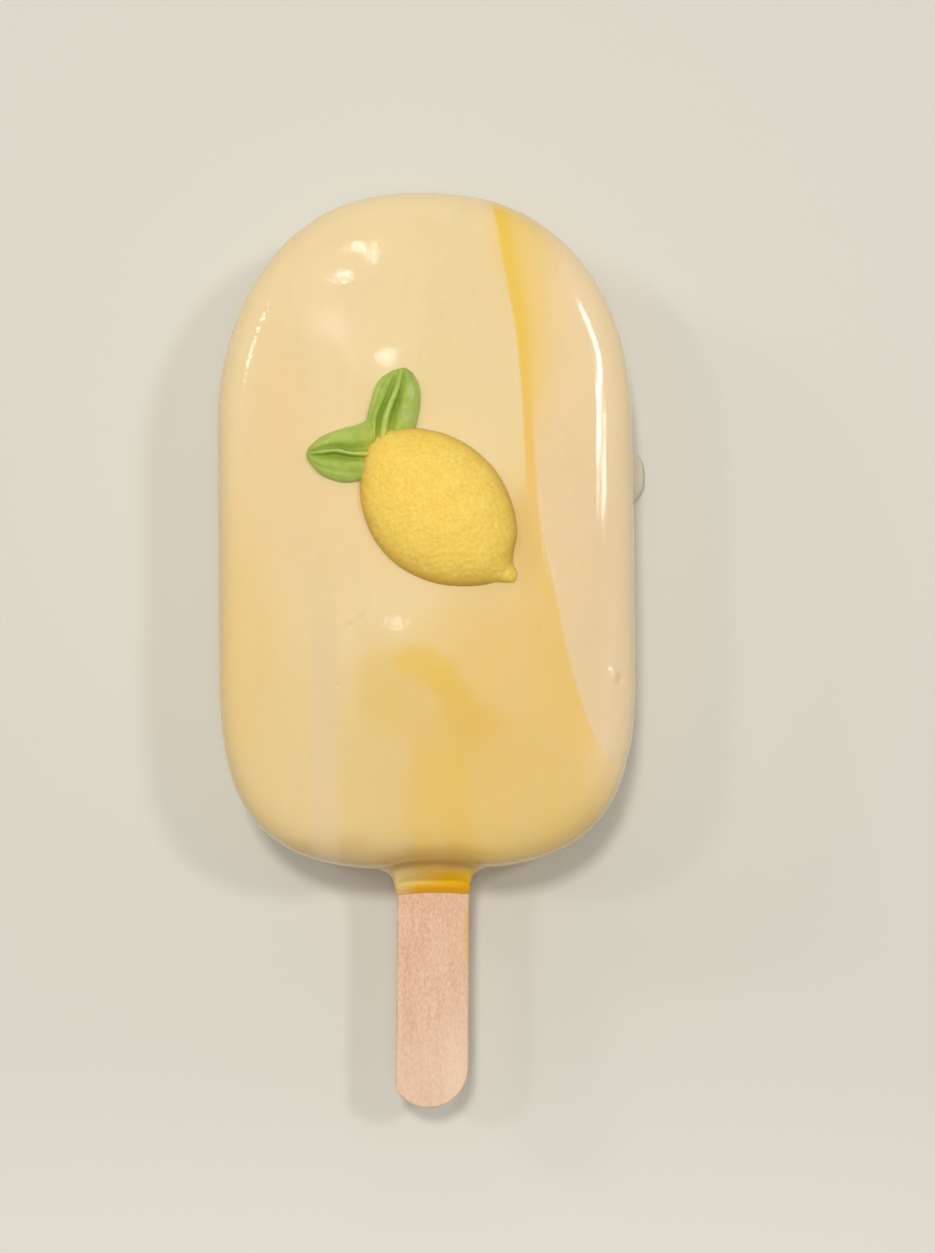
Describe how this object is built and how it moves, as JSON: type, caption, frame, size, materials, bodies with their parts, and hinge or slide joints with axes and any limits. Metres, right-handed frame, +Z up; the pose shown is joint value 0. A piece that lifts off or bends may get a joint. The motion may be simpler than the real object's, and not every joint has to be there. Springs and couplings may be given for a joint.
{
  "type": "cakesicle",
  "caption": "Cakesicle on a wooden stick: a rounded cake bar in marbled cream and yellow candy coating, with a sugar-paste lemon and leaves on its face, lying on its flat back.",
  "frame": {"origin": "on the resting surface, under the middle of the whole piece, stick included", "axes": "+X across the bar, +Y from the stick's free end to the bar's far end, +Z up from the flat back to the decorated face"},
  "size_m": [0.0568, 0.1204, 0.0315],
  "materials": {
    "candy_coating": "glossy candy coating, marbled in cream, pale yellow and orange-yellow",
    "stick_wood": "plain unvarnished birch with fine lengthwise grain",
    "lemon_paste": "matte fine-grained yellow sugar paste",
    "leaf_paste": "satin green sugar paste"
  },
  "bodies": {
    "root": {"coating": "candy_coating", "stick": "stick_wood", "lemon": "lemon_paste", "leaf_upper": "leaf_paste", "leaf_side": "leaf_paste"}
  },
  "joints": []
}
